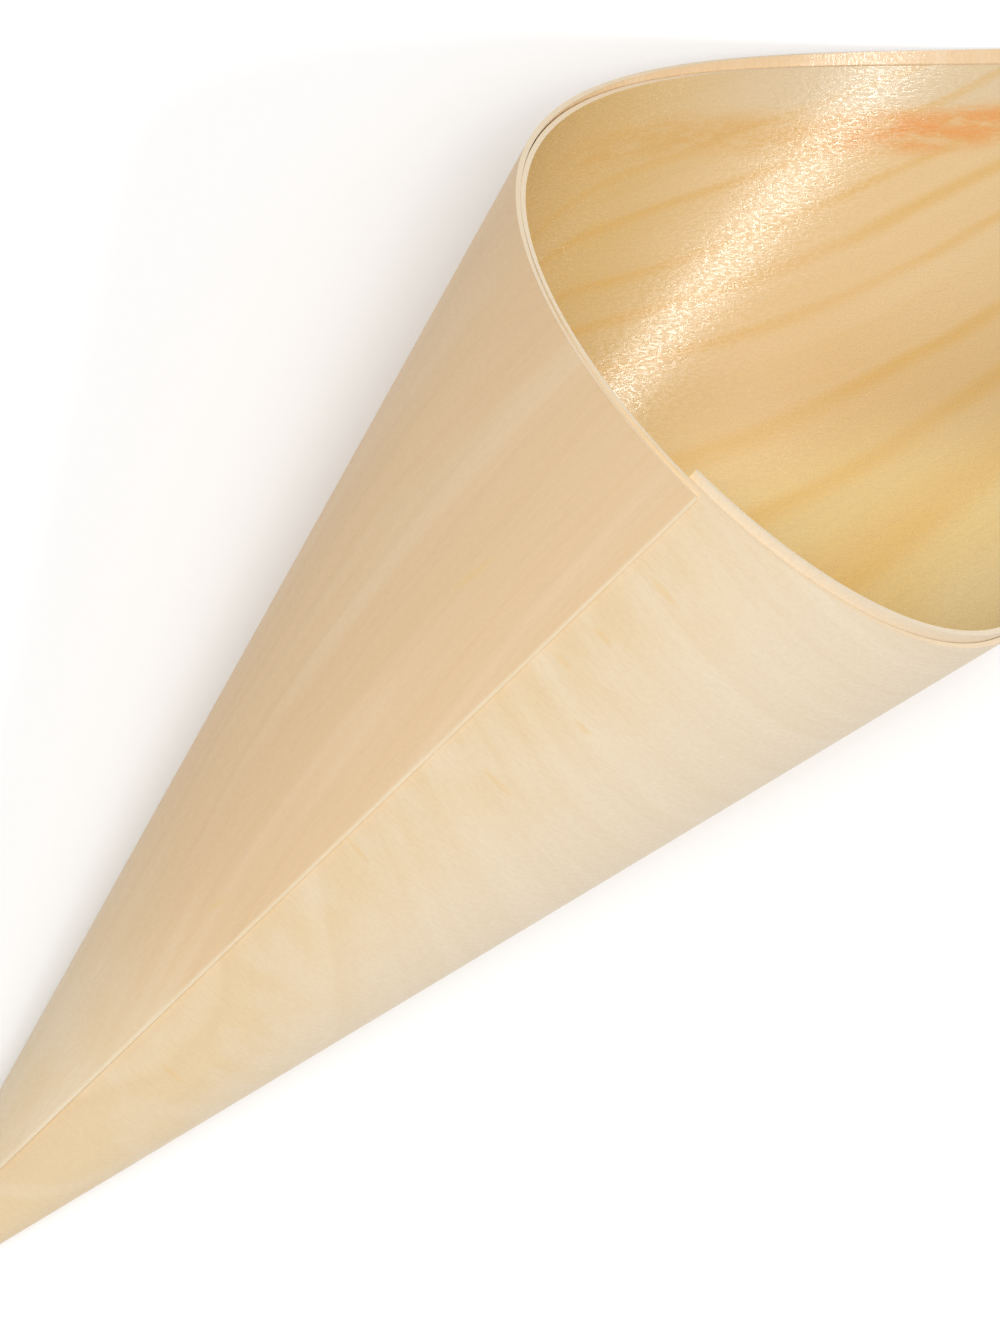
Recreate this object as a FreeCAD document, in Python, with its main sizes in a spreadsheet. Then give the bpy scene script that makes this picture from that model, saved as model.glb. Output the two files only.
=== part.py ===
import FreeCAD, Part

import math
import os

from FreeCAD import Placement, Rotation, Vector

import Sketcher

# A food cone rolled from one sheet of thin pine veneer. The sheet is a rectangle twice as long as wide,
# with the grain along its length. It is wound for two turns about the middle of one long side, so that
# side ends as the straight seam, and the two far corners lie over each other as the high back of the mouth.

os.makedirs("parts", exist_ok=True)
doc = FreeCAD.newDocument("food_cone")

# Driving dimensions, in millimetres and degrees
sheet = doc.addObject("Spreadsheet::Sheet", "sizes")
SIZES = [
    ("sheet_length", "250", "veneer, along the grain"),
    ("sheet_width", "125", "veneer, across the grain"),
    ("veneer_thickness", "0.55", "one layer"),
    ("turn_gap", "0.12", "air between one turn and the next"),
    ("half_angle", "14.36", "between the axis of the cone and its wall"),
    ("centre_shift", "1.7", "roll centre, from the middle of the long side towards the inner end"),
    ("tip_miss", "0.6", "from the roll centre to the long side"),
    ("notch_radius", "3.5", "cut about the roll centre, which leaves the small hole in the tip"),
]
for row, (alias, value, note) in enumerate(SIZES, start=1):
    sheet.set(f"A{row}", value)
    sheet.setAlias(f"A{row}", alias)
    sheet.set(f"B{row}", note)
doc.recompute()

# The flat blank
blank = doc.addObject("Sketcher::SketchObject", "flat_blank")
NOTCH, INNER_FOOT, INNER_END, TOP_SIDE, OUTER_END, OUTER_FOOT = range(6)
START, END, CENTRE = 1, 2, 3
ORIGIN = (-1, 1)


def line(x_start, y_start, x_end, y_end):
    """A sketch line in about its place, which the constraints then set."""
    return Part.LineSegment(Vector(x_start, y_start, 0), Vector(x_end, y_end, 0))


def constrain(*rule, size=None):
    """Adds one constraint to the blank, bound to a size where one is given."""
    index = blank.addConstraint(Sketcher.Constraint(*rule))
    if size:
        blank.setExpression(f"Constraints[{index}]", size)


def draw_blank():
    """The rectangle, about the roll centre, with a round notch there in its long side."""
    circle = Part.Circle(Vector(0, 0, 0), Vector(0, 0, 1), 3)
    lines = [
        line(3, 1, 123, 1),
        line(123, 1, 123, 126),
        line(123, 126, -127, 126),
        line(-127, 126, -127, 1),
        line(-127, 1, -3, 1),
    ]
    blank.addGeometry([Part.ArcOfCircle(circle, 0.3, 2.8)] + lines, False)
    constrain("Coincident", NOTCH, CENTRE, *ORIGIN)
    constrain("Coincident", NOTCH, START, INNER_FOOT, START)
    for side in (INNER_FOOT, INNER_END, TOP_SIDE, OUTER_END):
        constrain("Coincident", side, END, side + 1, START)
    constrain("Coincident", OUTER_FOOT, END, NOTCH, END)
    for side in (INNER_FOOT, TOP_SIDE, OUTER_FOOT):
        constrain("Horizontal", side)
    for side in (INNER_END, OUTER_END):
        constrain("Vertical", side)
    constrain("Radius", NOTCH, 3, size="sizes.notch_radius")
    constrain("DistanceY", *ORIGIN, INNER_END, START, 1, size="sizes.tip_miss")
    constrain("DistanceY", *ORIGIN, OUTER_END, END, 1, size="sizes.tip_miss")
    constrain("DistanceY", INNER_END, START, INNER_END, END, 125, size="sizes.sheet_width")
    constrain("DistanceX", TOP_SIDE, END, TOP_SIDE, START, 250, size="sizes.sheet_length")
    inner_length = "sizes.sheet_length / 2 - sizes.centre_shift"
    constrain("DistanceX", *ORIGIN, INNER_END, START, 123, size=inner_length)


draw_blank()
doc.recompute()

# The rolled cone, worked out about its own axis. Each half turn of the veneer is part of a true cone. From one
# half turn to the next the tip of that cone steps back along the straight line that both share, so that each
# turn lies one pitch outside the turn before it. In the flat blank these tips lie round the roll centre.
half_angle = math.radians(sheet.half_angle)
thickness = sheet.veneer_thickness
pitch = thickness + sheet.turn_gap
fan_angle = math.pi * math.sin(half_angle)
step_back = pitch / math.sin(2 * half_angle)
FIRST_HALF, LAST_HALF = -1, 3
INNER_FACE, OUTER_FACE = -0.5, 0.5
FORWARD = 1


def tip(half_turn):
    """Tip of the cone of a half turn, for the middle of the veneer's thickness."""
    side = -1 if half_turn % 2 == 0 else 1
    sideways = side * step_back * math.sin(half_angle) / 2
    return Vector(sideways, 0, -half_turn * pitch / (2 * math.sin(half_angle)))


def flat_tip(half_turn):
    """The same tip in the flat blank."""
    angle = (half_turn + 0.5) * fan_angle
    away = step_back / (2 * math.sin(fan_angle / 2))
    return Vector(-math.sin(angle), math.cos(angle), 0) * away


def face_cone(half_turn, face):
    """Cone that one face of the veneer follows for a half turn."""
    cone = Part.Cone()
    cone.SemiAngle = half_angle
    cone.Radius = 0
    cone.Center = tip(half_turn) - Vector(0, 0, face * thickness / math.sin(half_angle))
    return cone


def bend_angle(flat, half_turn):
    """Angle in the blank of the bend line through a point, from a quarter turn below zero upwards."""
    reach = flat - flat_tip(half_turn)
    return math.pi / 2 - math.atan2(reach.x, reach.y)


def rolled_spot(flat, half_turn, face):
    """Turn and length along the wall, on that cone, of a point of the flat blank."""
    turn = bend_angle(flat, half_turn) / math.sin(half_angle)
    whole_turns = half_turn // 2
    along = (flat - flat_tip(half_turn)).Length + face * thickness / math.tan(half_angle)
    return FreeCAD.Base.Vector2d(turn - 2 * math.pi * whole_turns, along)


def rolled_edges(rows, half_turn, face):
    """Edges on one face of the veneer, each through a row of points of the flat blank."""
    cone = face_cone(half_turn, face)
    edges = []
    for row in rows:
        spots = [rolled_spot(flat, half_turn, face) for flat in row]
        if len(spots) == 2:
            curve = Part.Geom2d.Line2dSegment(*spots)
        else:
            curve = Part.Geom2d.BSplineCurve2d()
            curve.interpolate(Points=spots)
        edges.append(curve.toShape(cone))
    return cone, edges


# The blank in the flat, cut up by the bend lines between the half turns
SIDE_STEPS = 24


def crossing(side_index, half_turn, angle):
    """Point of the blank where the bend line at an angle crosses one of its sides."""
    side, origin = blank.Geometry[side_index], flat_tip(half_turn)
    sight = Vector(math.cos(angle), math.sin(angle), 0)
    if side_index == NOTCH:
        middle = -origin.dot(sight)
        return origin + sight * (middle + math.sqrt(middle**2 + side.Radius**2 - origin.Length**2))
    start, end = side.StartPoint - origin, side.EndPoint - origin
    share = start.cross(sight).z / (start - end).cross(sight).z
    return side.StartPoint + (side.EndPoint - side.StartPoint) * share


def part_of_side(side_index, half_turn):
    """Row of points along the part of a side that a half turn takes up, which is empty where it has none."""
    side = blank.Geometry[side_index]
    first, last = bend_angle(side.StartPoint, half_turn), bend_angle(side.EndPoint, half_turn)
    if half_turn > FIRST_HALF:
        first = max(first, half_turn * fan_angle)
    if half_turn < LAST_HALF:
        last = min(last, (half_turn + 1) * fan_angle)
    if first >= last:
        return []
    angles = [first + (last - first) * step / SIDE_STEPS for step in range(SIDE_STEPS + 1)]
    return [crossing(side_index, half_turn, angle) for angle in angles]


def foot(side_index):
    """Row of points along a foot of the blank, closer together near the tip."""
    near, far = sorted([blank.Geometry[side_index].StartPoint, blank.Geometry[side_index].EndPoint],
                       key=lambda flat: flat.Length)
    growth = far.x / near.x
    return [Vector(near.x * growth ** (step / SIDE_STEPS), near.y, 0) for step in range(SIDE_STEPS + 1)]


def rolled_half_turn(half_turn):
    """Both faces of a half turn of the veneer, and the faces of the cut sides that belong to it."""
    near = part_of_side(NOTCH, half_turn)
    far = [part_of_side(side, half_turn) for side in (INNER_END, TOP_SIDE, OUTER_END)]
    far = [row for row in far if row]
    cut = [near] + far
    start, end = [near[0], far[0][0]], [near[-1], far[-1][-1]]
    if half_turn == FIRST_HALF:
        start = foot(INNER_FOOT)
        cut.append(start)
    if half_turn == LAST_HALF:
        end = foot(OUTER_FOOT)
        cut.append(end)
    faces = []
    for face in (INNER_FACE, OUTER_FACE):
        cone, edges = rolled_edges([near, end] + far[::-1] + [start], half_turn, face)
        faces.append(Part.Face(cone, Part.Wire(edges)))
    inner_edges, outer_edges = (rolled_edges(cut, half_turn, face)[1] for face in (INNER_FACE, OUTER_FACE))
    for inner_edge, outer_edge in zip(inner_edges, outer_edges):
        faces.append(Part.makeRuledSurface(inner_edge, outer_edge, FORWARD))
    return faces


def rolled_veneer():
    """The whole veneer as one solid."""
    half_turns = range(FIRST_HALF, LAST_HALF + 1)
    shell = Part.Shell([face for half_turn in half_turns for face in rolled_half_turn(half_turn)])
    shell.sewShape()
    solid = Part.Solid(shell)
    if solid.Volume < 0:
        solid.reverse()
    return solid


veneer_cone = doc.addObject("Part::Feature", "veneer_cone")
veneer_cone.Label = "veneer_cone"
veneer_cone.Shape = rolled_veneer()


# The cone lies on its side, where its weight brings it to rest, with the seam on top
def along_wall(turn):
    """Direction from the tip along the wall, at an angle of turn about the axis."""
    reach = math.sin(half_angle)
    return Vector(reach * math.cos(turn), reach * math.sin(turn), math.cos(half_angle))


def out_of_wall(turn):
    """Direction square out of the wall."""
    reach = math.cos(half_angle)
    return Vector(reach * math.cos(turn), reach * math.sin(turn), -math.sin(half_angle))


def weight_centre(solid):
    """Centre of the veneer, which is thin enough to be that of its two faces."""
    walls = [face for face in solid.Faces if isinstance(face.Surface, Part.Cone)]
    moment = Vector(0, 0, 0)
    for wall in walls:
        moment += wall.CenterOfMass * wall.Area
    return moment / sum(wall.Area for wall in walls)


weight_arm = weight_centre(veneer_cone.Shape) - tip(LAST_HALF)
resting_on = math.atan2(weight_arm.y, weight_arm.x)
lie_down = Rotation(along_wall(resting_on), Vector(0, 0, 0), -out_of_wall(resting_on), "XZY").inverted()
veneer_cone.Placement = Placement(Vector(0, 0, 0), lie_down)
box = veneer_cone.Shape.optimalBoundingBox(False, False)
veneer_cone.Placement = Placement(Vector(-box.Center.x, -box.Center.y, -box.ZMin), lie_down)
doc.recompute()

for item in doc.Objects:
    if "Invalid" in item.State or "Error" in item.State:
        raise RuntimeError(f"{item.Name} failed: {item.State}")
if veneer_cone.Shape.isNull() or not veneer_cone.Shape.isValid():
    raise RuntimeError("veneer_cone isn't a valid solid")
veneer_cone.Shape.exportStep("parts/veneer_cone.step")
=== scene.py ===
import math

import bmesh
import bpy
import numpy as np
from mathutils import Matrix, Vector


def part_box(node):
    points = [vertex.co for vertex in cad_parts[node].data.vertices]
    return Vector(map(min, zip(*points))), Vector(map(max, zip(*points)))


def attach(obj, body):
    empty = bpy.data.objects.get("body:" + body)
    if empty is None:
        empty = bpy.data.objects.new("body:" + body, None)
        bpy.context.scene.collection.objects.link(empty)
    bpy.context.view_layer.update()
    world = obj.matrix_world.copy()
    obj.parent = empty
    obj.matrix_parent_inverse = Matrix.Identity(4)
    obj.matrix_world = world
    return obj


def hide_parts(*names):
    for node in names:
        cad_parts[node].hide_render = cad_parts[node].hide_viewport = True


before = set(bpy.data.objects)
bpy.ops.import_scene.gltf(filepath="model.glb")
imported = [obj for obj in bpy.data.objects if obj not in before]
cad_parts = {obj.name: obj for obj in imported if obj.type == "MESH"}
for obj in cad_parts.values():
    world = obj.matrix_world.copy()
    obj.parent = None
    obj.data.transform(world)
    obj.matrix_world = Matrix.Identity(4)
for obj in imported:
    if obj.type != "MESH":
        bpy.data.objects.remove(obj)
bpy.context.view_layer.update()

# The veneer sheet, in metres and radians. It is the construction's sheet, but 0.8 mm narrower and rolled
# about a centre 0.2 mm further along, which brings out the small step in the rim at the seam.
SHEET_LENGTH = 0.250
SHEET_WIDTH = 0.1242
THICKNESS = 0.00055
TURN_GAP = 0.00012
HALF_ANGLE = math.radians(14.36)
CENTRE_SHIFT = 0.0019
TIP_MISS = 0.0006
NOTCH_RADIUS = 0.0035
RESTING_TURN = math.radians(-176.237)

# How the veneer, which is wound by this angle, strays from its true roll
WOUND = math.radians(724)
SEAM_REACH = math.radians(60)
SEAM_PRESS = 0.00010
RIM_CLOSE = 0.00010
RIM_WAVE = 0.00002
WAVES_ROUND = 2.3
WAVES_ALONG = 9
WAVE_START = 1.1

# Fineness of the mesh
BEND_STEP = math.radians(0.42)
ROWS = 26
SHARP_ANGLE = math.radians(40)
MERGE = 1e-7
SMALL = 1e-9

# What follows: the sides of the flat sheet about the roll centre, and how one turn lies on the next
INNER_X = SHEET_LENGTH / 2 - CENTRE_SHIFT
OUTER_X = INNER_X - SHEET_LENGTH
FOOT_Y = TIP_MISS
TOP_Y = TIP_MISS + SHEET_WIDTH
NOTCH_X = math.sqrt(NOTCH_RADIUS**2 - FOOT_Y**2)
PITCH = THICKNESS + TURN_GAP
FAN_ANGLE = math.pi * math.sin(HALF_ANGLE)
STEP_BACK = PITCH / math.sin(2 * HALF_ANGLE)

# Half turns, the faces off the middle of the veneer in thicknesses, and the materials
FIRST_HALF_TURN, LAST_HALF_TURN = -1, 3
INNER_FACE, OUTER_FACE = -0.5, 0.5
INNER, OUTER, EDGE = range(3)


# The roll: each half turn is part of a true cone, whose tip steps back from one half turn to the next
def flat_tip(half_turn):
    """Point of the flat sheet from which the bend lines of a half turn fan out."""
    angle = (half_turn + 0.5) * FAN_ANGLE
    away = STEP_BACK / (2 * math.sin(FAN_ANGLE / 2))
    return np.array([-math.sin(angle), math.cos(angle)]) * away


def cone_tip(half_turn):
    """Tip of the cone that the middle of the veneer follows for a half turn."""
    side = -1 if half_turn % 2 == 0 else 1
    sideways = side * STEP_BACK * math.sin(HALF_ANGLE) / 2
    return Vector((sideways, 0, -half_turn * PITCH / (2 * math.sin(HALF_ANGLE))))


def along_wall(turn):
    """Direction from the tip along the wall."""
    reach = math.sin(HALF_ANGLE)
    return Vector((reach * math.cos(turn), reach * math.sin(turn), math.cos(HALF_ANGLE)))


def out_of_wall(turn):
    """Direction square out of the wall."""
    reach = math.cos(HALF_ANGLE)
    return Vector((reach * math.cos(turn), reach * math.sin(turn), -math.sin(HALF_ANGLE)))


def bend_angle(x, y, half_turn):
    """Angle in the flat sheet of the bend line through a point."""
    tip_x, tip_y = flat_tip(half_turn)
    return math.pi / 2 - math.atan2(x - tip_x, y - tip_y)


def ends_of_bend(angle, half_turn):
    """Distances from the flat tip at which a bend line enters and leaves the sheet."""
    tip_x, tip_y = flat_tip(half_turn)
    way_x, way_y = math.cos(angle), math.sin(angle)
    middle = -(tip_x * way_x + tip_y * way_y)
    near = middle + math.sqrt(middle**2 + NOTCH_RADIUS**2 - tip_x**2 - tip_y**2)
    far = [math.inf]
    if abs(way_x) > SMALL:
        far.append(((INNER_X if way_x > 0 else OUTER_X) - tip_x) / way_x)
    if way_y > SMALL:
        far.append((TOP_Y - tip_y) / way_y)
        if tip_y < FOOT_Y:
            near = max(near, (FOOT_Y - tip_y) / way_y)
    elif way_y < -SMALL:
        far.append((FOOT_Y - tip_y) / way_y)
    return near, min(far)


def bend_lines():
    """Every bend line of the mesh, as half turn and angle, from the inner foot round to the outer foot."""
    corners = [(INNER_X, FOOT_Y), (INNER_X, TOP_Y), (OUTER_X, TOP_Y), (-NOTCH_X, FOOT_Y)]
    lines = []
    for half_turn in range(FIRST_HALF_TURN, LAST_HALF_TURN + 1):
        first, last = half_turn * FAN_ANGLE, (half_turn + 1) * FAN_ANGLE
        if half_turn == FIRST_HALF_TURN:
            first = bend_angle(NOTCH_X, FOOT_Y, half_turn)
        if half_turn == LAST_HALF_TURN:
            last = bend_angle(OUTER_X, FOOT_Y, half_turn)
        stops = [bend_angle(x, y, half_turn) for x, y in corners]
        stops = sorted([first, last] + [stop for stop in stops if first < stop < last])
        for start, end in zip(stops, stops[1:]):
            count = max(1, round((end - start) / BEND_STEP))
            lines += [(half_turn, start + (end - start) * step / count) for step in range(count)]
    lines.append((LAST_HALF_TURN, last))
    return lines


def spring_back(turn, reach):
    """How far the veneer strays from its true roll: pressed on by the rim and the seam, and uneven."""
    share = min(1, reach / SHEET_WIDTH)
    to_seam = max(0, turn - WOUND + SEAM_REACH) / SEAM_REACH
    from_start = min(1, max(0, turn) / SEAM_REACH)
    wave = math.sin(WAVES_ROUND * turn + WAVE_START) * math.sin(WAVES_ALONG * share + turn) * share
    uneven = RIM_WAVE * wave * (1 - to_seam) * from_start
    return uneven - RIM_CLOSE * share * turn / WOUND - SEAM_PRESS * to_seam**2


def rolled_sheet(name):
    """The whole veneer: its two faces and its cut edges, with its flat coordinates as a UV map."""
    lines = bend_lines()
    places, flats = [], []
    for face in (INNER_FACE, OUTER_FACE):
        for half_turn, angle in lines:
            near, far = ends_of_bend(angle, half_turn)
            turn = angle / math.sin(HALF_ANGLE)
            tip_x, tip_y = flat_tip(half_turn)
            for row in range(ROWS + 1):
                reach = near + (far - near) * row / ROWS
                off = face * THICKNESS + spring_back(turn, reach)
                places.append(cone_tip(half_turn) + out_of_wall(turn) * off + along_wall(turn) * reach)
                flats.append((tip_x + math.cos(angle) * reach, tip_y + math.sin(angle) * reach))
    count = len(places) // 2
    last = len(lines) - 1

    def spot(face, line, row):
        return face * count + line * (ROWS + 1) + row

    def patch(*spots):
        return [spot(*place) for place in spots]

    faces, sides = [], []
    for line in range(last):
        beyond = line + 1
        for row in range(ROWS):
            wall = patch((0, line, row), (0, beyond, row), (0, beyond, row + 1), (0, line, row + 1))
            faces += [wall, [index + count for index in reversed(wall)]]
            sides += [INNER, OUTER]
        for row in (0, ROWS):
            edge = patch((0, line, row), (1, line, row), (1, beyond, row), (0, beyond, row))
            faces.append(edge if row == 0 else edge[::-1])
            sides.append(EDGE)
    for row in range(ROWS):
        for line in (0, last):
            edge = patch((0, line, row), (0, line, row + 1), (1, line, row + 1), (1, line, row))
            faces.append(edge if line == 0 else edge[::-1])
            sides.append(EDGE)
    mesh = bpy.data.meshes.new(name)
    mesh.from_pydata([tuple(place) for place in places], [], faces)
    layer = mesh.uv_layers.new(name="flat")
    for loop in mesh.loops:
        layer.data[loop.index].uv = flats[loop.vertex_index]
    for polygon, side in zip(mesh.polygons, sides):
        polygon.material_index = side
    edit = bmesh.new()
    edit.from_mesh(mesh)
    bmesh.ops.remove_doubles(edit, verts=edit.verts, dist=MERGE)
    bmesh.ops.dissolve_degenerate(edit, edges=edit.edges, dist=MERGE)
    edit.to_mesh(mesh)
    edit.free()
    mesh.shade_smooth()
    mesh.set_sharp_from_angle(angle=SHARP_ANGLE)
    piece = bpy.data.objects.new(name, mesh)
    bpy.context.scene.collection.objects.link(piece)
    return piece


def lay_down(piece):
    """Lays the sheet on its side on the floor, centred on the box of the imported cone."""
    wall, out = along_wall(RESTING_TURN), out_of_wall(RESTING_TURN)
    across = (-out).cross(wall)
    piece.data.transform(Matrix((wall, across, -out)).to_4x4())
    corners = np.array([vertex.co for vertex in piece.data.vertices])
    low, high = Vector(corners.min(axis=0)), Vector(corners.max(axis=0))
    box_low, box_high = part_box("veneer_cone")
    shift = (box_low + box_high) / 2 - (low + high) / 2
    shift.z = box_low.z - low.z
    piece.data.transform(Matrix.Translation(shift))


sheet = rolled_sheet("rolled_veneer")
lay_down(sheet)

# Materials: the sockets of a colour mix, and the share of a spot that is full
MIX_INPUTS, MIX_RESULT = (0, 6, 7), 2
SPOT_CORE = 0.3


class Recipe:
    """The nodes of one material, with short calls for the ones that a recipe needs most."""

    def __init__(self, name):
        self.material = bpy.data.materials.new(name)
        self.material.use_nodes = True
        self.tree = self.material.node_tree
        self.shader = self.tree.nodes["Principled BSDF"]

    def add(self, kind, inputs=(), **settings):
        """A node of a kind, with its settings and inputs."""
        node = self.tree.nodes.new("ShaderNode" + kind)
        for key, value in settings.items():
            setattr(node, key, value)
        for key, value in dict(inputs).items():
            self.feed(node.inputs[key], value)
        return node

    def feed(self, socket, value):
        """Links a socket to another, or sets it to a value."""
        if isinstance(value, bpy.types.NodeSocket):
            self.tree.links.new(value, socket)
        else:
            socket.default_value = value

    def maths(self, operation, *values):
        """The result of one operation on the values."""
        return self.add("Math", dict(enumerate(values)), operation=operation).outputs[0]

    def times(self, *values):
        result = values[0]
        for value in values[1:]:
            result = self.maths("MULTIPLY", result, value)
        return result

    def plus(self, *values):
        result = values[0]
        for value in values[1:]:
            result = self.maths("ADD", result, value)
        return result

    def line(self, value, factor, start):
        """The value times a factor, plus a start."""
        return self.maths("MULTIPLY_ADD", value, factor, start)

    def ramp(self, value, low, high, to_low=0, to_high=1):
        """A soft step, from one result where the value is low to another where it is high."""
        inputs = {"Value": value, "From Min": low, "From Max": high, "To Min": to_low, "To Max": to_high}
        return self.add("MapRange", inputs, interpolation_type="SMOOTHSTEP").outputs[0]

    def clamp(self, value, low, high):
        """The value, kept from low to high."""
        return self.add("Clamp", {0: value, 1: low, 2: high}).outputs[0]

    def noise(self, x, y, length, breadth, detail, roughness):
        """Noise from 0 to 1, in patches of about this length and breadth."""
        across = {0: self.maths("DIVIDE", x, length), 1: self.maths("DIVIDE", y, breadth)}
        place = self.add("CombineXYZ", across).outputs[0]
        inputs = {"Vector": place, "Scale": 1, "Detail": detail, "Roughness": roughness}
        return self.add("TexNoise", inputs, noise_dimensions="2D").outputs[0]

    def mix(self, share, first, second):
        """The first colour with a share of the second in it."""
        inputs = dict(zip(MIX_INPUTS, (share, first, second)))
        return self.add("Mix", inputs, data_type="RGBA").outputs[MIX_RESULT]

    def spot(self, x, y, centre, size):
        """A soft oval mark, 1 in its middle."""
        across = self.maths("DIVIDE", self.maths("SUBTRACT", x, centre[0]), size[0])
        up = self.maths("DIVIDE", self.maths("SUBTRACT", y, centre[1]), size[1])
        away = self.maths("SQRT", self.plus(self.times(across, across), self.times(up, up)))
        return self.ramp(away, 1, SPOT_CORE)


# Pine, worked out on the flat sheet in millimetres: x along the grain, from the outer end to the inner one,
# and y across it, from the side with the notch
MILLI = 1000
CREAM = (0.865, 0.722, 0.53, 1)
STRAW = (0.83, 0.645, 0.40, 1)
TAN = (0.835, 0.597, 0.35, 1)
DUSK = (0.74, 0.54, 0.33, 1)
AMBER = (0.68, 0.475, 0.195, 1)
GOLD = (0.755, 0.525, 0.25, 1)
DEEP_GOLD = (0.71, 0.475, 0.195, 1)
# Painted sheen: the paler, greyer strip inside between the orange band and the rim stands in for the sheen
# there
PAINTED_SHEEN = (0.71, 0.55, 0.335, 1)
# Painted glow: the inside of the low wall, shaded by the wall above it, is painted brighter and more golden
# for the light that shines through the thin veneer into it
PAINTED_GLOW = (1.0, 0.785, 0.36, 1)
PALE_PAINTED_GLOW = (1.0, 0.85, 0.48, 1)
STREAK = (0.74, 0.52, 0.30, 1)
PALE_STREAK = (0.93, 0.82, 0.64, 1)
RING = (0.70, 0.405, 0.085, 1)
# Rings within the painted glow of the low wall are painted lit as well
LIT_RING = (0.97, 0.60, 0.15, 1)
BAND = (0.69, 0.40, 0.11, 1)
ORANGE = (0.78, 0.33, 0.08, 1)
RESIN = (0.84, 0.58, 0.24, 1)
# Painted highlight: a pale line along the seam, where the cut edge of the outer end catches the light
SEAM_HIGHLIGHT = (0.95, 0.84, 0.62, 1)
FIBRE = (0.62, 0.42, 0.24, 1)
CUT_WOOD = (0.90, 0.76, 0.56, 1)

# Where the wood changes, and where the painted glow, painted sheen and painted seam highlight lie: start and
# end of each soft step, and the shares there if they aren't 0 and 1
OUTER_END_X, INNER_END_X, PAINTED_GLOW_WALL_Y = (-34, -66), (15, 60), (92, 74)
STRAW_X, STRAW_Y = (-20, 0, 0, 0.8), (75, 25, 0, 0.6)
DUSK_Y = (22, 6, 0, 0.3)
AMBER_X = (90, 70)
DEEP_GOLD_X, DEEP_GOLD_Y = (88, 100), (104, 92, 0, 0.8)
PAINTED_SHEEN_X, PAINTED_SHEEN_Y = (74, 94), (118, 122)
PALE_PAINTED_GLOW_X, PALE_PAINTED_GLOW_Y = (104, 112), (74, 62)
DARK_STREAK_END, PALE_STREAK_X = (0, 1, 0.3, 1), (45, 20, 0.06, 0.22)
RINGS_X, FAINT_RINGS_X = (40, 62), (60, 40)
BAND_X, ORANGE_X = (58, 70, 0, 0.75), (92, 106)
SEAM_HIGHLIGHT_X, SEAM_HIGHLIGHT_Y = (0, -10, 0, 0.6), (FOOT_Y * MILLI + 0.55, FOOT_Y * MILLI + 0.1)
RING_SHARE, FAINT_RING_SHARE, RESIN_SHARE, CUT_SHARE = 0.75, 0.04, 0.4, 0.75

# Noise patterns: length and breadth of their patches, detail and roughness. With most go the soft steps that
# make shares of them. The shift keeps the pale streaks off the dark ones.
WANDER = (45, 14, 2, 0.55)
MOTTLE, MOTTLE_STEP = (9, 5, 3, 0.55), (0.3, 0.7, 0.6, 1.25)
DARK_STREAKS, DARK_STREAK_STEP = (60, 0.09, 3, 0.6), (0.42, 0.72, 0, 0.28)
PALE_STREAKS, PALE_STREAK_STEP = (90, 0.5, 2, 0.55), (0.45, 0.75)
RING_PATCHES, RING_PATCH_STEP = (26, 9, 2, 0.55), (0.25, 0.65, 0.6, 1)
FAINT_RINGS, FAINT_RISE, FAINT_FALL = (300, 0.33, 1, 0.55), (0.5, 0.62), (0.74, 0.62)
BAND_BENDS = (22, 1, 1, 0.55)
BLOTCHES, BLOTCH_STEP = (5, 1.4, 5, 0.7), (0.35, 0.62, 0.25, 1)
FIBRES, FIBRE_STEP = (6, 0.22, 4, 0.7), (0.3, 0.8, 0, 0.10)
GRIT, GRIT_STEP, GRIT_GLOSS_STEP = (0.75, 0.30, 3, 0.7), (0.35, 0.65, 0, 0.10), (0.42, 0.58)
STREAK_SHIFT = 300

# Growth rings: each has a level, the spans over which it fades before and after it, and a strength
RING_LEVELS = [
    (-4.92, 0.30, 0.60, 0.75),
    (-4.04, 0.20, 0.14, 0.75),
    (-3.34, 0.20, 0.14, 0.9),
    (-2.33, 0.15, 0.10, 0.7),
    (-1.74, 0.18, 0.14, 0.8),
    (-1.21, 0.13, 0.09, 0.7),
    (-0.53, 0.13, 0.09, 0.7),
    (0.08, 0.13, 0.09, 0.5),
]

# The level: the square of the way off the pith line, which drifts along the sheet, and a run along it.
# By the mouth it is bent as well, by places counted in spans from one point there.
RING_UNIT = 0.01
PITH_Y, PITH_DRIFT = 43.73, -2.56
RING_OPENING = 1 / 800
RING_RUN, RING_TURN = -4.80, -2.04
RING_WANDER = 0.24
MOUTH_X = MOUTH_Y = 95
MOUTH_SPAN = 30
MOUTH_X_LOW, MOUTH_Y_LOW = -1.2, -1
MOUTH_START_X = (30, 70)
BEND_X, BEND_Y, BEND_XX, BEND_XY, BEND_YY = 1.344, -1.151, -0.160, -0.20, -0.53

# Orange band along the far long side: its middle, how far that wanders, and how far off it the band is gone
# and full
BAND_Y, BAND_WANDER = 116.6, 3.0
BAND_FADE = (3.2, 0.4)

# Resin marks: place along and across the sheet, and half length of each
RESIN_MARKS = [
    (-5, 115, 2.6),
    (-4, 107.6, 1.6),
    (-3, 103, 1.5),
    (-9, 99, 1.5),
    (-7, 89, 2.8),
    (-2, 74, 2.2),
    (-5, 42, 2.2),
    (-105, 10.2, 4.0),
    (-62, 4.5, 2.0),
]
RESIN_HALF_WIDTH = 0.45
RESIN_SLANT = -0.10

# Surface of each side of the sheet
GLOSS = {INNER: 1.0, OUTER: 0.5, EDGE: 0.4}
GRAIN_DEPTH = {INNER: 0.00008, OUTER: 0.00004, EDGE: 0.00004}
ROUGHNESS = {INNER: (0.14, 0.34), OUTER: (0.46, 0.60), EDGE: (0.5, 0.65)}
FIBRE_HEIGHT, GRIT_HEIGHT = 0.25, 0.75
BUMP_STRENGTH = 0.6
INDEX = 1.5


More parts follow.
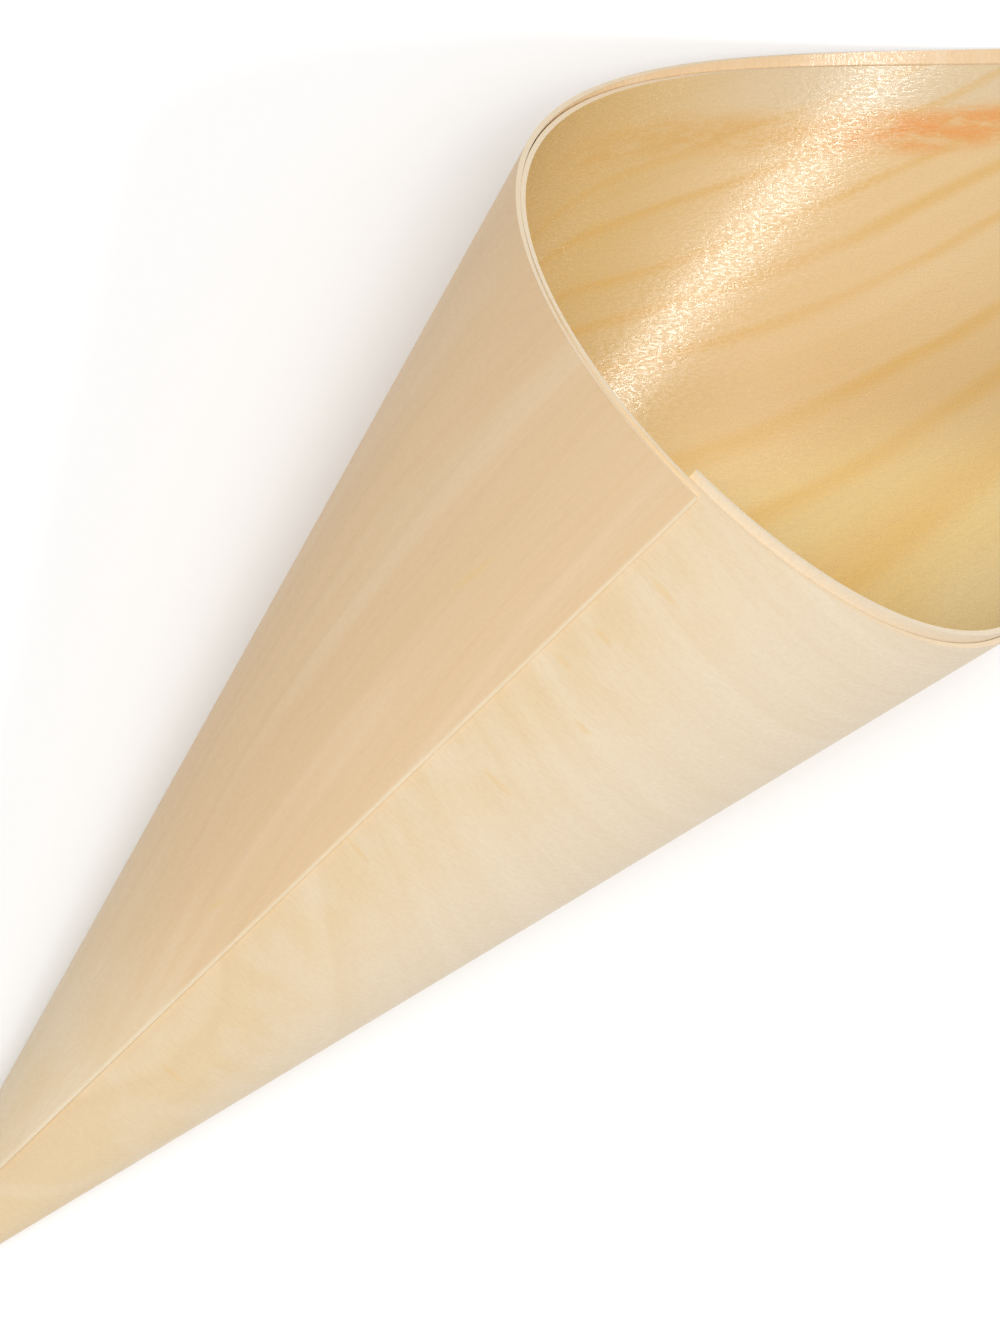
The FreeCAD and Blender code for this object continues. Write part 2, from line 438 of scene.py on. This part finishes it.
def ring_level(r, x, y):
    """A number that is the same along one growth ring and rises from ring to ring."""
    run = r.times(x, RING_UNIT)
    off_pith = r.maths("SUBTRACT", y, r.line(run, PITH_DRIFT, PITH_Y))
    level = r.times(off_pith, off_pith, RING_OPENING)
    level = r.plus(level, r.times(run, RING_RUN), r.times(run, run, RING_TURN))
    a = r.clamp(r.line(x, 1 / MOUTH_SPAN, -MOUTH_X / MOUTH_SPAN), MOUTH_X_LOW, 1)
    b = r.clamp(r.line(y, 1 / MOUTH_SPAN, -MOUTH_Y / MOUTH_SPAN), MOUTH_Y_LOW, 1)
    straight = r.plus(r.times(a, BEND_X), r.times(b, BEND_Y))
    bent = r.plus(straight, r.times(a, a, BEND_XX), r.times(a, b, BEND_XY), r.times(b, b, BEND_YY))
    wandering = r.line(r.noise(x, y, *WANDER), RING_WANDER, -RING_WANDER / 2)
    return r.plus(level, r.times(bent, r.ramp(x, *MOUTH_START_X)), wandering)


def wood_and_painted_light(r, x, y, side, outer_end, painted_glow_wall):
    """Colour of each stretch of the sheet, without its marks, with a painted glow on the inside of the low
    wall and a painted sheen on the strip inside below the rim.
    """
    inner_end = r.ramp(x, *INNER_END_X)
    mottle = r.ramp(r.noise(x, y, *MOTTLE), *MOTTLE_STEP)
    straw = r.plus(r.ramp(x, *STRAW_X), r.ramp(y, *STRAW_Y))
    colour = r.mix(r.times(straw, mottle, r.ramp(x, *reversed(INNER_END_X))), CREAM, STRAW)
    colour = r.mix(outer_end, colour, TAN)
    colour = r.mix(r.times(outer_end, r.ramp(y, *DUSK_Y)), colour, DUSK)
    if side == INNER:
        colour = r.mix(inner_end, colour, GOLD)
        colour = r.mix(r.times(inner_end, r.ramp(x, *AMBER_X)), colour, AMBER)
        colour = r.mix(r.times(r.ramp(x, *DEEP_GOLD_X), r.ramp(y, *DEEP_GOLD_Y)), colour, DEEP_GOLD)
        # Painted sheen on the strip inside below the rim
        colour = r.mix(r.times(r.ramp(x, *PAINTED_SHEEN_X), r.ramp(y, *PAINTED_SHEEN_Y)), colour, PAINTED_SHEEN)
        # Painted glow on the shaded inside of the low wall, paler towards the inner end
        colour = r.mix(painted_glow_wall, colour, PAINTED_GLOW)
        colour = r.mix(r.times(r.ramp(x, *PALE_PAINTED_GLOW_X), r.ramp(y, *PALE_PAINTED_GLOW_Y)), colour, PALE_PAINTED_GLOW)
    return colour


def streaked(r, colour, x, level, outer_end):
    """Soft darker and paler streaks that follow the rings."""
    dark = r.ramp(r.noise(x, level, *DARK_STREAKS), *DARK_STREAK_STEP)
    colour = r.mix(r.times(dark, r.ramp(outer_end, *DARK_STREAK_END)), colour, STREAK)
    pale = r.ramp(r.noise(r.plus(x, STREAK_SHIFT), level, *PALE_STREAKS), *PALE_STREAK_STEP)
    return r.mix(r.times(pale, r.ramp(x, *PALE_STREAK_X)), colour, PALE_STREAK)


def ringed(r, colour, x, y, level, painted_glow_wall):
    """Growth rings, clear at the inner end and faint elsewhere."""
    rings = []
    for place, before, after, dark in RING_LEVELS:
        rise = r.ramp(level, place - before, place)
        fall = r.ramp(level, place + after, place)
        rings.append(r.times(rise, fall, dark))
    patches = r.ramp(r.noise(x, y, *RING_PATCHES), *RING_PATCH_STEP)
    strength = r.times(r.plus(*rings), r.ramp(x, *RINGS_X), patches, RING_SHARE)
    # Rings on the low wall take the painted glow too
    colour = r.mix(strength, colour, r.mix(painted_glow_wall, RING, LIT_RING))
    wave = r.noise(x, level, *FAINT_RINGS)
    faint = r.times(r.ramp(wave, *FAINT_RISE), r.ramp(wave, *FAINT_FALL), r.ramp(x, *FAINT_RINGS_X))
    return r.mix(r.times(faint, FAINT_RING_SHARE), colour, RING)


def marked(r, colour, x, y):
    """The orange band, the resin marks, and a painted highlight along the outer foot, where it ends as the
    seam.
    """
    middle = r.line(r.noise(x, 0, *BAND_BENDS), BAND_WANDER, BAND_Y)
    off_band = r.maths("ABSOLUTE", r.maths("SUBTRACT", y, middle))
    band = r.times(r.ramp(off_band, *BAND_FADE), r.ramp(r.noise(x, y, *BLOTCHES), *BLOTCH_STEP))
    colour = r.mix(r.times(band, r.ramp(x, *BAND_X)), colour, BAND)
    colour = r.mix(r.times(band, r.ramp(x, *ORANGE_X)), colour, ORANGE)
    for place_x, place_y, half_length in RESIN_MARKS:
        slanted = r.line(r.maths("SUBTRACT", x, place_x), RESIN_SLANT, y)
        mark = r.spot(x, slanted, (place_x, place_y), (half_length, RESIN_HALF_WIDTH))
        colour = r.mix(r.times(mark, RESIN_SHARE), colour, RESIN)
    # Painted highlight along the seam
    return r.mix(r.times(r.ramp(y, *SEAM_HIGHLIGHT_Y), r.ramp(x, *SEAM_HIGHLIGHT_X)), colour, SEAM_HIGHLIGHT)


def pine(name, side):
    """Material of one side of the sheet."""
    r = Recipe(name)
    flat = r.add("SeparateXYZ", {0: r.add("UVMap", uv_map="flat").outputs[0]}).outputs
    x, y = r.times(flat[0], MILLI), r.times(flat[1], MILLI)
    level = ring_level(r, x, y)
    outer_end = r.ramp(x, *OUTER_END_X)
    # Where the inside of the low wall is painted with glow, for light that comes through the thin veneer
    # into its shade
    painted_glow_wall = r.times(r.ramp(x, *INNER_END_X), r.ramp(y, *PAINTED_GLOW_WALL_Y))
    colour = wood_and_painted_light(r, x, y, side, outer_end, painted_glow_wall)
    colour = streaked(r, colour, x, level, outer_end)
    colour = ringed(r, colour, x, y, level, painted_glow_wall)
    colour = marked(r, colour, x, y)
    fibre, grit = r.noise(x, y, *FIBRES), r.noise(x, y, *GRIT)
    colour = r.mix(r.ramp(fibre, *FIBRE_STEP), colour, FIBRE)
    colour = r.mix(r.ramp(grit, *GRIT_STEP), colour, FIBRE)
    if side == EDGE:
        colour = r.mix(CUT_SHARE, colour, CUT_WOOD)
    height = r.plus(r.times(fibre, FIBRE_HEIGHT), r.times(grit, GRIT_HEIGHT))
    bump = r.add("Bump", {"Height": height, "Strength": BUMP_STRENGTH, "Distance": GRAIN_DEPTH[side]})
    r.feed(r.shader.inputs["Base Color"], colour)
    r.feed(r.shader.inputs["Normal"], bump.outputs[0])
    r.feed(r.shader.inputs["Roughness"], r.ramp(grit, *GRIT_GLOSS_STEP, *ROUGHNESS[side]))
    r.shader.inputs["IOR"].default_value = INDEX
    r.shader.inputs["Specular IOR Level"].default_value = GLOSS[side]
    return r.material


for name, side in (("pine_inside", INNER), ("pine_outside", OUTER), ("pine_edge", EDGE)):
    sheet.data.materials.append(pine(name, side))
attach(sheet, "root")
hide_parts("veneer_cone")

# Camera
CAMERA_PLACE = Vector((-0.04658410, 0.05050838, 0.54336757))
CAMERA_AIM = Vector((-0.00148, 0.00104, 0.030))
PICTURE_UP = Vector((0.73246993, 0.68079826, -0.00123814))
LENS = 143.51
SENSOR = 36.0
camera_data = bpy.data.cameras.new("camera")
camera_data.sensor_fit = "VERTICAL"
camera_data.sensor_height = SENSOR
camera_data.lens = LENS
camera = bpy.data.objects.new("camera", camera_data)
back = (CAMERA_PLACE - CAMERA_AIM).normalized()
right = PICTURE_UP.cross(back).normalized()
up = back.cross(right)
camera.matrix_world = Matrix.Translation(CAMERA_PLACE) @ Matrix((right, up, back)).transposed().to_4x4()
bpy.context.scene.collection.objects.link(camera)
bpy.context.scene.camera = camera

# Floor, which shows white to the camera and keeps the cone's shadow
FLOOR_HALF = 2.0
FLOOR_TONE = (0.84, 0.84, 0.84, 1)
FLOOR_SEEN = (1.02, 1.035, 1.05, 1)
floor_mesh = bpy.data.meshes.new("floor")
corners = [(x * FLOOR_HALF, y * FLOOR_HALF, 0) for x, y in ((-1, -1), (1, -1), (1, 1), (-1, 1))]
floor_mesh.from_pydata(corners, [], [(0, 1, 2, 3)])
floor = bpy.data.objects.new("floor", floor_mesh)
bpy.context.scene.collection.objects.link(floor)
paper = Recipe("floor")
rays = paper.add("LightPath").outputs
seen = paper.maths("MAXIMUM", rays["Is Camera Ray"], rays["Is Glossy Ray"])
plain = paper.add("BsdfDiffuse", {"Color": paper.mix(seen, FLOOR_TONE, FLOOR_SEEN)})
paper.feed(paper.tree.nodes["Material Output"].inputs["Surface"], plain.outputs[0])
paper.tree.nodes.remove(paper.shader)
floor_mesh.materials.append(paper.material)

# Lamps: soft boxes overhead, kept out of the sheen, and a small key lamp, whose sheen runs down the inside
# of the mouth. Each has a name, place, aim, width and power.
LEVEL = 0.90
SKY = 0.45
WHITE = (1, 1, 1, 1)
OVER_CONE, CONE_MIDDLE = (0, 0, 1.6), (0, 0, 0.02)
SOFT_BOXES = [
    ("overhead_wide", OVER_CONE, CONE_MIDDLE, 1.2, 7.2 * LEVEL),
    ("overhead", OVER_CONE, CONE_MIDDLE, 0.5, 5.0 * LEVEL),
    ("back", (0, 0.35, 1.55), CONE_MIDDLE, 0.5, 4.6 * LEVEL),
]
KEY_LAMP = ("key", (0.304, -0.96, 1.24), (0.02, 0, 0.02), 0.24, 4.8)


def area_light(name, place, aim, width, power):
    """A square lamp that looks at a point."""
    data = bpy.data.lights.new(name, "AREA")
    data.size = width
    data.energy = power
    lamp = bpy.data.objects.new(name, data)
    lamp.location = place
    lamp.rotation_euler = (Vector(aim) - Vector(place)).to_track_quat("-Z", "Y").to_euler()
    bpy.context.scene.collection.objects.link(lamp)
    return lamp


for soft_box in SOFT_BOXES:
    area_light(*soft_box).visible_glossy = False
area_light(*KEY_LAMP)
world = bpy.data.worlds.new("studio")
world.use_nodes = True
world.node_tree.nodes["Background"].inputs["Color"].default_value = WHITE
world.node_tree.nodes["Background"].inputs["Strength"].default_value = SKY * LEVEL
bpy.context.scene.world = world
bpy.context.scene.view_settings.view_transform = "Standard"
